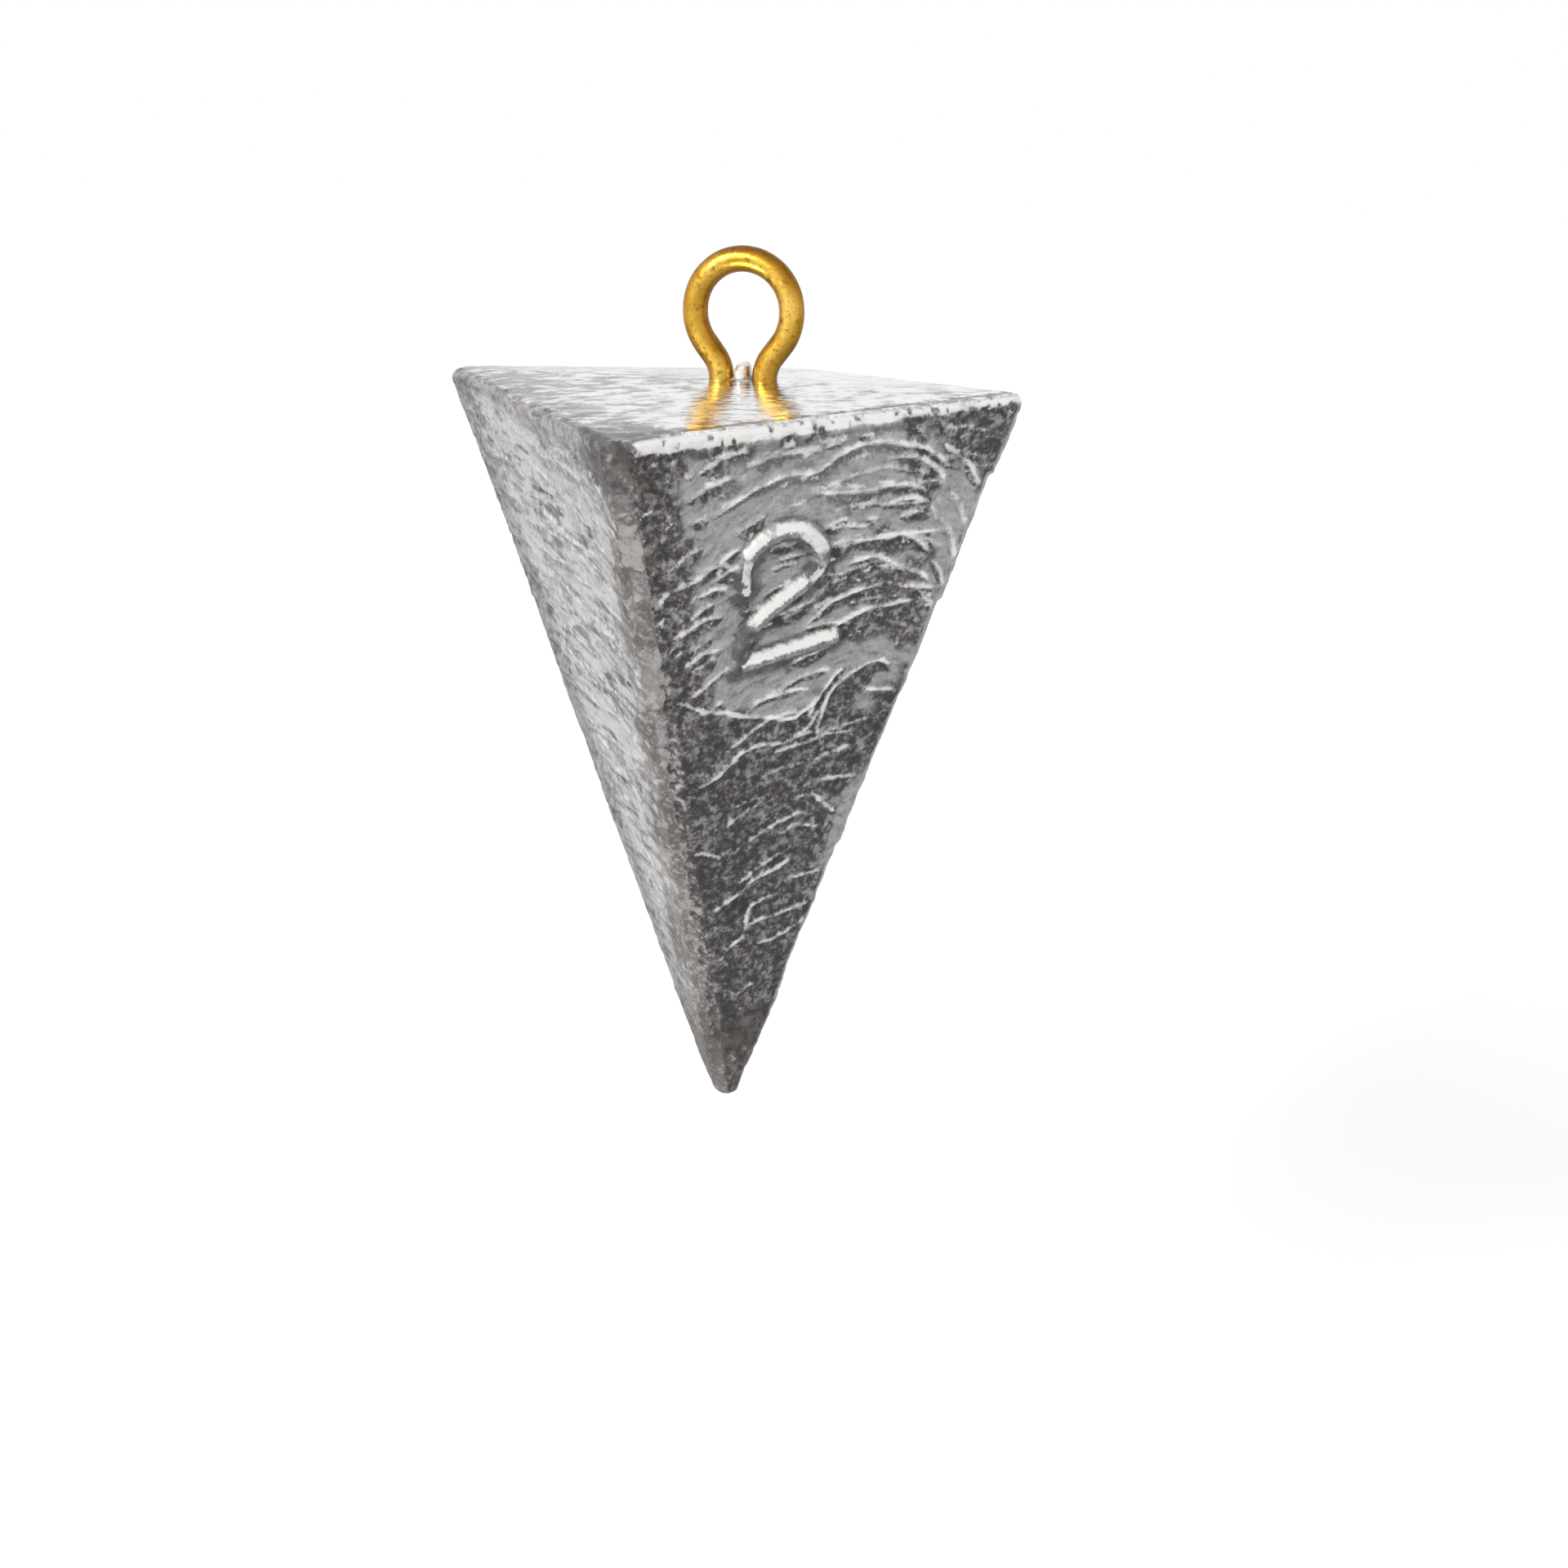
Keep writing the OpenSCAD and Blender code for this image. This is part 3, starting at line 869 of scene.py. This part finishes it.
def markArrises(skin, ends, tip, body):
    # the four long edges, planed flat and uneven
    for name, wear in arrisWear.items():
        skin.place, facet, beige = wearAway(skin.place, ends[name], tip, body, wear)
        raiseMask(skin, "worn", beige)
        dulled = facet * (1 - beige) * (0.25 if name == "right" else 1)
        raiseMask(skin, "island", 0.55 * dulled, faded=facet)
        raiseMask(skin, "grime", 0.45 * dulled * ramp(skin.ragged, -0.5, 0.2), faded=0.8 * facet)
        skin.masks["crest"] *= 1 - facet * 0.8
        skin.masks["fresh"] *= 1 - facet
        skin.lift = skin.lift * (1 - facet) + facet * (0.035 * skin.ragged - 0.01)


def markFrontEdge(skin, ends, chips):
    # the dark broken band on the right of the front arris, and the soiled corner above it
    x, y, z = skin.place.T
    ragged = skin.ragged
    begin = frontEdge["bandAt"] - frontEdge["bandShift"] * ramp(-z, *frontEdge["shiftDown"])
    band = ramp(x + 0.40 * chips - begin, 0, 0.26) * fall(x + 0.9 * ragged, 0.5, 1.8)
    band *= (y < 0) * skin.isSide * fall(-z, *frontEdge["bandEnd"])
    raiseMask(skin, "grime", band * (0.1 + 0.45 * ramp(chips, -0.4, 0.3)))
    raiseMask(skin, "island", 0.8 * band)
    skin.masks["worn"] *= 1 - band
    skin.lift -= 0.10 * band * ramp(chips, -0.6, 0.2)
    away = np.linalg.norm(skin.place - ends["front"] - frontEdge["soiledCorner"], axis=1)
    corner = fall(away + 1.2 * ragged, *frontEdge["soiledReach"]) * (1 - 0.8 * skin.lip)
    raiseMask(skin, "grime", corner * (0.25 + 0.65 * ramp(ragged + 0.4 * chips, -0.3, 0.15)))
    raiseMask(skin, "worn", 0.65 * corner * ramp(-ragged, -0.1, 0.3), faded=0.5 * corner)
    raiseMask(skin, "island", corner * 0.45)


def raiseSeam(skin, body):
    # the seam where the mould halves met, on the long edges only
    x, y = skin.place.T[:2]
    onSeam = np.exp(-(y / (body["seamWidth"] * 0.45)) ** 2) * skin.isSide * (np.abs(x) > 0.4)
    onSeam *= ramp(np.clip(1 - skin.covered - skin.openTop, 0, 1), 0.1, 0.5)
    flash = ramp(waves(skin.place * (0, 0, 1), 2.6, 55, 2), -0.25, 0.45)
    skin.lift += onSeam * body["seamProud"] * (0.35 + 0.65 * flash)


def markTip(skin):
    # the tip: soiled, with one bright strand of lead slung across the front above it
    x, y, z = skin.place.T
    low = ramp(-z + 1.5 * skin.ragged, *tipMarks["soiled"])
    raiseMask(skin, "grime", low * (0.3 + 0.25 * ramp(skin.ragged, -0.4, 0.4)))
    raiseMask(skin, "worn", 0.55 * low)
    skin.masks["fresh"] *= 1 - low
    strand = tipMarks["strand"]
    above = z - strand["height"] - strand["sag"] * (x / strand["halfWidth"]) ** 2
    onStrand = np.exp(-(above / strand["thickness"]) ** 2) * (y < 0)
    onStrand *= fall(np.abs(x), strand["halfWidth"], strand["end"])
    skin.lift += strand["proud"] * onStrand
    raiseMask(skin, "crest", 0.6 * onStrand)


def darkenHollowsBrightenPeaks(skin):
    # darker in the hollows, partly dirt and partly painted shade, brighter on the high spots, partly rubbed
    # and partly painted highlight, and the sprue's stub is clean
    proud = skin.lift - smoothed(skin.lift, skin.pairs, 12)
    notTop = 1 - skin.openTop * skin.flat
    raiseMask(skin, "grime", ramp(-proud, 0.008, 0.06) * notTop * 0.6)
    litAndRubbed = ramp(proud, 0.015, 0.08) * notTop * fall(skin.masks["grime"], 0.3, 0.7)
    raiseMask(skin, "crest", litAndRubbed * 0.5)
    stub = ramp(-skin.under, 0.08, 0.2)
    skin.masks["openTop"] = skin.openTop * (1 - stub)
    raiseMask(skin, "crest", 0.9 * stub)
    skin.masks["grime"] *= 1 - stub


def shapeMesh(mesh, skin, body):
    # moves the points out by the relief, leans the tip and gives the marks to the material
    place = skin.place + skin.facing * skin.lift[:, None]
    x, _, z = place.T
    lean = body["tipLean"]
    bulge = window(-z, *lean["bulge"]) * ramp(x, 0.2, 0.7)
    place[:, 0] += lean["by"] * (ramp(-z, *lean["below"]) + bulge)
    place += np.array(body["middle"])
    low, high = (np.array(corner) / mm for corner in cadBounds)
    place = np.clip(place, low + body["inset"], high - body["inset"])
    mesh.vertices.foreach_set("co", (place * mm).ravel())
    for name, values in skin.masks.items():
        made = mesh.attributes.new(name, "FLOAT", "POINT")
        made.data.foreach_set("value", np.clip(values, 0, 1).astype(np.float32))
    made = mesh.attributes.new("flow", "FLOAT_VECTOR", "POINT")
    made.data.foreach_set("vector", skin.flow.astype(np.float32).ravel())
    mesh.shade_smooth()
    mesh.update()


def castLead(body):
    dots, ends, tip = castCloud(body)
    mesh = fineShell([dots, stubCloud(body)], body)
    triangles = sum(len(face.vertices) - 2 for face in mesh.polygons)
    print("lead shell:", len(mesh.vertices), "points,", triangles, "triangles")
    skin = bareSkin(mesh)
    markSides(skin, ends, tip, body)
    findTop(skin, body)
    markTop(skin, body)
    markRim(skin, body)
    markArrises(skin, ends, tip, body)
    markFrontEdge(skin, ends, waves(skin.place, 0.55, 65, 2))
    raiseSeam(skin, body)
    markTip(skin)
    darkenHollowsBrightenPeaks(skin)
    shapeMesh(mesh, skin, body)
    return addObject("castLead", mesh)


darkLead = (0.050, 0.045, 0.045)
leadFinish = {
    # where on the pattern each colour comes, dark to light
    "streams": [(0.38, (0.26, 0.253, 0.252)), (0.45, (0.40, 0.391, 0.389)),
                (0.54, (0.50, 0.490, 0.487)), (0.62, (0.60, 0.590, 0.584))],
    "islands": [(0.41, darkLead), (0.47, (0.108, 0.098, 0.094)),
                (0.53, (0.23, 0.217, 0.211)), (0.60, (0.48, 0.465, 0.455))],
    # the left-hand side's colours, lighter in part as painted light
    "fresh": [(0.38, (0.19, 0.185, 0.19)), (0.435, (0.36, 0.355, 0.36)),
              (0.49, (0.50, 0.495, 0.505)), (0.58, (0.63, 0.625, 0.63))],
    "dull": (0.140, 0.132, 0.134),
    # near-white of the crest mask: painted highlight on the chill lines, the rim lip and the figure, and the
    # shine of the clean stub
    "highlight": (0.90, 0.885, 0.865),
    "beige": (0.455, 0.425, 0.40),
    "brown": (0.150, 0.128, 0.116),
    "polished": (0.86, 0.86, 0.875),
    "topStreak": (0.25, 0.245, 0.255),
    "topRoughness": 0.17,
    "bumpDepth": 0.06,
}


def leadPattern(tree, coords):
    # the marks that the mesh carries, and the noises that all of the lead's skins share
    flow = attribute(tree, "flow", "Vector")  # millimetres along and across the flow lines
    look = SimpleNamespace(
        flow=flow,
        streaks=noiseNode(flow, 0.40 / mm, 3, 0.55, stretch=(1.8, 1, 1)),
        specks=noiseNode(coords, 0.40, 3, 0.55),
        grain=noiseNode(coords, 0.16, 2, 0.5),
        broad=noiseNode(coords, 3.0, 3),
        patches=noiseNode(coords, 4.5, 2))
    for name in ("island", "crest", "worn", "grime", "openTop", "fresh"):
        setattr(look, name, attribute(tree, name))
    look.islandTone = mixed((look.specks, 0.68), (look.grain, 0.32))
    look.edgeNoise = times(less(look.islandTone, 0.5), 1.6)
    look.rough = rampNode(plus(look.island, look.edgeNoise), 0.25, 0.58)
    return look


def sideColour(look, finish):
    # smooth streams, the fresher left-hand side, lighter in part as painted light, rough dark islands, bared
    # lead, dirt with painted shade, and painted highlights on the crests
    streamTone = mixed((look.streaks, 0.55), (look.grain, 0.3), (look.broad, 0.15))
    freshTone = mixed((look.streaks, 0.35), (look.specks, 0.25), (look.grain, 0.2), (look.broad, 0.2))
    bareTone = mixed((look.specks, 0.45), (look.broad, 0.35), (look.grain, 0.2), (look.worn, 0.35))
    islands = rampColours(look.islandTone, finish["islands"])
    bared = mixColour(rampNode(bareTone, 0.66, 0.84), finish["brown"], finish["beige"])
    # the grime mask holds dirt and painted shade: in hollows, in the rim's groove, under the rim lip and
    # under the figure
    soiled = rampNode(less(look.grime, times(look.edgeNoise, 0.5)), 0.1, 1.0)
    colour = mixColour(look.fresh, rampColours(streamTone, finish["streams"]),
                       rampColours(freshTone, finish["fresh"]))
    colour = mixColour(times(look.rough, less(1.0, times(look.fresh, 0.45))), colour, islands)
    colour = mixColour(rampNode(plus(look.worn, look.edgeNoise), 0.3, 0.6), colour, bared)
    colour = mixColour(times(soiled, 0.85), colour, darkLead)
    # near-white where the crest mask is high, mostly painted highlight
    return mixColour(rampNode(plus(look.crest, look.edgeNoise), 0.2, 0.9), colour, finish["highlight"])


def topColour(look, finish):
    # polished, with fine dull scratches along the streaks, painted shade in the groove behind the rim and
    # soiled spots
    scratches = noiseNode(look.flow, 0.62 / mm, 5, 0.7, stretch=(1.9, 1, 1))
    scratched = rampNode(mixed((scratches, 0.8), (look.patches, 0.2), (look.island, 0.13)), 0.50, 0.67)
    colour = mixColour(scratched, finish["polished"], finish["topStreak"])
    return mixColour(rampNode(plus(look.grime, look.edgeNoise), 0.1, 0.6), colour, finish["dull"])


def leadBumps(look, finish):
    notTop = less(1.0, look.openTop)
    topWaves = noiseNode(look.flow, 0.45 / mm, 2, 0.5, stretch=(1.8, 1, 1))
    height = mixed((look.islandTone, 0.8), (look.streaks, 0.2))
    return addNode(notTop.id_data, "ShaderNodeBump", {
        "Strength": plus(times(plus(0.25, times(look.island, 0.65)), notTop), times(look.openTop, 0.75)),
        "Distance": finish["bumpDepth"] * mm,
        "Height": plus(times(height, notTop), times(topWaves, look.openTop))}).outputs[0]


def leadMaterial(finish):
    made, tree, coords = newMaterial("castLeadSkin")
    look = leadPattern(tree, coords)
    sideRough = less(plus(rampNode(look.island, 0.1, 0.7, 0.36, 0.50), times(look.grime, 0.2)),
                     times(look.crest, 0.12))
    shine = less(plus(0.40, times(look.crest, 0.45)), times(most(look.rough, look.grime), 0.25))
    showSurface(tree, {
        "Base Color": mixColour(look.openTop, sideColour(look, finish), topColour(look, finish)),
        "Roughness": plus(times(sideRough, less(1.0, look.openTop)),
                          times(look.openTop, finish["topRoughness"])),
        "Metallic": most(shine, look.openTop),
        "Normal": leadBumps(look, finish)})
    return made


lead = castLead(leadBody)
lead.data.materials.append(leadMaterial(leadFinish))
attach(lead, "root")
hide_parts("lead_body")
print("cast lead body done")


# The bent brass wire

brassEye = {
    "wireDiameter": 1.15,
    "eyeWidth": 3.4,
    "flank": 0.05,
    "neckTurn": 38.0,
    "neckRadius": 1.6,
    "legGap": 0.9,
    "legLength": 4.05,
    "footRadius": 2.5,
    "footSplay": 22.0,
    "footLength": 9.0,
    "sides": 44,
    "ringSpacing": 0.1,
    "dentDepth": 0.025,
    "dentSize": 0.7,
    "dentLevel": 0.62,  # noise below this is a dent
}

brassFinish = {
    "shades": [(0.18, (0.22, 0.095, 0.010)), (0.44, (0.43, 0.215, 0.022)), (0.70, (0.62, 0.355, 0.046)),
               (0.92, (0.84, 0.55, 0.115))],  # painted shade on its flanks to painted light on its front and back
    "tarnish": (0.42, 0.20, 0.022),
    "blotch": (0.30, 0.140, 0.014),
    "pit": (0.16, 0.07, 0.012),
    "bumpDepth": 0.02,
}


def wirePath(wire):
    # half of the wire by its bend schedule, from the top of the loop down, then mirrored
    loop = (wire["eyeWidth"] + wire["wireDiameter"]) / 2
    turn = math.radians(wire["neckTurn"])
    legX = (wire["legGap"] + wire["wireDiameter"]) / 2
    shoulder = (loop * math.cos(turn) - wire["neckRadius"] * (1 - math.cos(turn)) - legX) / math.sin(turn)
    schedule = [(loop, math.pi / 2), (wire["flank"], None), (loop, turn), (shoulder, None),
                (wire["neckRadius"], -turn), (wire["legLength"], None),
                (wire["footRadius"], -math.radians(wire["footSplay"])), (wire["footLength"], None)]
    spot, heading = np.array([0.0, 0.0, loop]), 0.0
    half = [spot]
    for size, bend in schedule:
        length = size if bend is None else size * abs(bend)
        steps = max(2, math.ceil(length / wire["ringSpacing"]))
        for _ in range(steps):
            middle = heading + (bend or 0) / steps / 2
            spot = spot + length / steps * np.array([math.cos(middle), 0, -math.sin(middle)])
            heading += (bend or 0) / steps
            half.append(spot)
    return [point * (-1, 1, 1) for point in half[:0:-1]] + half


def sweepWire(tree, start):
    even = addNode(tree, "GeometryNodeResampleCurve", {
        "Curve": start["Geometry"], "Length": start["Ring Spacing"]}, mode="LENGTH")
    ring = addNode(tree, "GeometryNodeCurvePrimitiveCircle", {
        "Resolution": start["Sides"], "Radius": times(start["Wire Diameter"], 0.5)})
    return addNode(tree, "GeometryNodeCurveToMesh", {
        "Curve": even.outputs[0], "Profile Curve": ring.outputs[0], "Fill Caps": True}).outputs[0]


def dentWire(tree, start, wire):
    dents = addNode(tree, "ShaderNodeTexNoise", {
        "Scale": mathNode("DIVIDE", 1.0, start["Dent Size"]), "Detail": 2.0})
    depth = times(less(dents.outputs[0], start["Dent Level"]), start["Dent Depth"])
    normal = addNode(tree, "GeometryNodeInputNormal").outputs[0]
    push = addNode(tree, "ShaderNodeVectorMath", {0: normal, "Scale": depth}, operation="SCALE")
    dented = addNode(tree, "GeometryNodeSetPosition", {"Geometry": wire, "Offset": push.outputs[0]})
    return addNode(tree, "GeometryNodeSetShadeSmooth", {0: dented.outputs[0]}).outputs[0]


def lightWireByFacing(tree, wire):
    # painted light and shade by which way the wire faces: front and back bright, flanks dark, less bright
    # where the wire faces up
    normal = addNode(tree, "GeometryNodeInputNormal").outputs[0]
    facing = addNode(tree, "ShaderNodeSeparateXYZ", {0: normal}).outputs
    litAndRubbed = mathNode("MULTIPLY_ADD", most(facing[2], 0.0), -0.6, mathNode("ABSOLUTE", facing[1]))
    return addNode(tree, "GeometryNodeStoreNamedAttribute", {
        "Geometry": wire, "Name": "litAndRubbed", "Value": litAndRubbed}, data_type="FLOAT").outputs[0]


def wireTree():
    tree = bpy.data.node_groups.new("sweptWire", "GeometryNodeTree")
    for name, kind in (("Geometry", "Geometry"), ("Wire Diameter", "Float"), ("Sides", "Int"),
                       ("Ring Spacing", "Float"), ("Dent Depth", "Float"), ("Dent Size", "Float"),
                       ("Dent Level", "Float"), ("Finish", "Material")):
        tree.interface.new_socket(name, in_out="INPUT", socket_type="NodeSocket" + kind)
    tree.interface.new_socket("Geometry", in_out="OUTPUT", socket_type="NodeSocketGeometry")
    start = addNode(tree, "NodeGroupInput").outputs
    wire = lightWireByFacing(tree, dentWire(tree, start, sweepWire(tree, start)))
    real = addNode(tree, "GeometryNodeRealizeInstances", {0: wire})
    painted = addNode(tree, "GeometryNodeSetMaterial", {
        "Geometry": real.outputs[0], "Material": start["Finish"]})
    addNode(tree, "NodeGroupOutput", {0: painted.outputs[0]})
    return tree


def brassMaterial(finish):
    made, tree, coords = newMaterial("satinBrass")
    broad, fine = noiseNode(coords, 1.6, 3), noiseNode(coords, 0.16, 4, 0.6)
    pits, blotches = noiseNode(coords, 0.13, 2, 0.5), noiseNode(coords, 0.42, 3, 0.6)
    # the shades follow which way the wire faces, as painted light and shade
    shade = plus(plus(attribute(tree, "litAndRubbed"), times(less(broad, 0.5), 1.4)), times(fine, 0.3))
    colour = rampColours(times(shade, 0.7), finish["shades"])
    colour = mixColour(rampNode(fine, 0.54, 0.8), colour, finish["tarnish"])
    colour = mixColour(rampNode(blotches, 0.55, 0.68, 0.0, 0.75), colour, finish["blotch"])
    colour = mixColour(rampNode(pits, 0.64, 0.74), colour, finish["pit"])
    bump = addNode(tree, "ShaderNodeBump", {
        "Height": fine, "Strength": 0.5, "Distance": finish["bumpDepth"] * mm})
    showSurface(tree, {"Base Color": colour, "Roughness": rampNode(fine, 0.3, 0.7, 0.24, 0.40),
                       "Metallic": 1.0, "Normal": bump.outputs[0]})
    return made


def applyTree(holder, tree, settings, name):
    # sets the named inputs, evaluates once and keeps the plain mesh as its own object
    modifier = holder.modifiers.new(tree.name, "NODES")
    modifier.node_group = tree
    for socket in tree.interface.items_tree:
        if socket.item_type == "SOCKET" and socket.in_out == "INPUT" and socket.name in settings:
            modifier[socket.identifier] = settings[socket.name]
    result = bpy.data.meshes.new_from_object(holder.evaluated_get(bpy.context.evaluated_depsgraph_get()))
    holder.modifiers.remove(modifier)
    return addObject(name, result)


def bendWire(wire):
    path = wirePath(wire)
    curve = bpy.data.curves.new("wirePath", "CURVE")
    curve.dimensions = "3D"
    spline = curve.splines.new("POLY")
    spline.points.add(len(path) - 1)
    for point, spot in zip(spline.points, path):
        point.co = (*(np.array(spot) * mm), 1)
    holder = addObject("wirePath", curve)
    made = applyTree(holder, wireTree(), {
        "Wire Diameter": wire["wireDiameter"] * mm,
        "Sides": wire["sides"],
        "Ring Spacing": wire["ringSpacing"] * mm,
        "Dent Depth": wire["dentDepth"] * mm,
        "Dent Size": wire["dentSize"] * mm,
        "Dent Level": wire["dentLevel"],
        "Finish": brassMaterial(brassFinish),
    }, "brassEye")
    bpy.data.objects.remove(holder)
    return made


eye = bendWire(brassEye)
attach(eye, "root")
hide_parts("wire_eye")
print("brass eye done:", len(eye.data.polygons), "faces")


# The floor, the light and the camera

studio = {
    "floorDrop": 34.0,  # the sinker hangs this far above the floor
    "floorSize": 4000.0,
    "floorColour": (0.62, 0.62, 0.62),
    "floorLift": 0.62,  # seen by the camera and in reflections only, so that the floor is white
    "worldLight": 0.26,
    "keyFrom": (-0.40, -0.76, 0.52),
    "keyStrength": 2.7,
    "keyAngle": 22.0,
}


def seenDirectly(tree):
    # 1 for what the camera, a reflection or a refraction sees, 0 for the light that falls on the object
    rays = addNode(tree, "ShaderNodeLightPath").outputs
    return most(most(rays["Is Camera Ray"], rays["Is Glossy Ray"]), rays["Is Transmission Ray"])


def makeFloor(studio):
    half = studio["floorSize"] / 2 * mm
    height = cadBounds[0][2] - studio["floorDrop"] * mm
    mesh = bpy.data.meshes.new("floor")
    corners = [(x * half, y * half, height) for x, y in ((-1, -1), (1, -1), (1, 1), (-1, 1))]
    mesh.from_pydata(corners, [], [(0, 1, 2, 3)])
    made = bpy.data.materials.new("paleFloor")
    tree = bareTree(made)
    matte = addNode(tree, "ShaderNodeBsdfDiffuse", {"Color": studio["floorColour"]})
    glow = addNode(tree, "ShaderNodeEmission", {"Strength": times(seenDirectly(tree), studio["floorLift"])})
    both = addNode(tree, "ShaderNodeAddShader", {0: matte.outputs[0], 1: glow.outputs[0]})
    addNode(tree, "ShaderNodeOutputMaterial", {0: both.outputs[0]})
    mesh.materials.append(made)
    addObject("floor", mesh)


def makeWorld(studio):
    scene.world = bpy.data.worlds.new("softStudio")
    tree = bareTree(scene.world)
    level = plus(studio["worldLight"], times(seenDirectly(tree), 1 - studio["worldLight"]))
    light = addNode(tree, "ShaderNodeBackground", {"Color": (1, 1, 1), "Strength": level})
    addNode(tree, "ShaderNodeOutputWorld", {0: light.outputs[0]})


def makeKeyLight(studio):
    # a broad soft light from the upper left, even over the whole floor
    lamp = bpy.data.lights.new("keyLight", "SUN")
    lamp.angle = math.radians(studio["keyAngle"])
    lamp.energy = studio["keyStrength"]
    holder = addObject("keyLight", lamp)
    holder.rotation_euler = Vector(studio["keyFrom"]).to_track_quat("Z", "Y").to_euler()


photoCamera = {
    "azimuth": 17.2,
    "elevation": 18.0,
    "roll": 0.67,
    "distance": 96.8,
    "lens": 46.42,
    "target": (2.17, 0.0, -22.06),
    "sensorWidth": 36,
    "nearest": 0.001,
}


def makeCamera(view):
    turn, rise, roll = (math.radians(view[name]) for name in ("azimuth", "elevation", "roll"))
    back = Vector((math.sin(turn) * math.cos(rise), -math.cos(turn) * math.cos(rise), math.sin(rise)))
    right = Vector((math.cos(turn), math.sin(turn), 0))
    up = back.cross(right)
    sideways = right * math.cos(roll) + up * math.sin(roll)
    upright = up * math.cos(roll) - right * math.sin(roll)
    camera = bpy.data.cameras.new("photoCamera")
    camera.lens = view["lens"]
    camera.sensor_width = view["sensorWidth"]
    camera.clip_start = view["nearest"]
    holder = addObject("photoCamera", camera)
    place = Matrix((sideways, upright, back)).transposed().to_4x4()
    place.translation = (Vector(view["target"]) + back * view["distance"]) * mm
    holder.matrix_world = place
    scene.camera = holder


makeFloor(studio)
makeWorld(studio)
makeKeyLight(studio)
makeCamera(photoCamera)
scene.view_settings.view_transform = "Standard"
print("studio done")
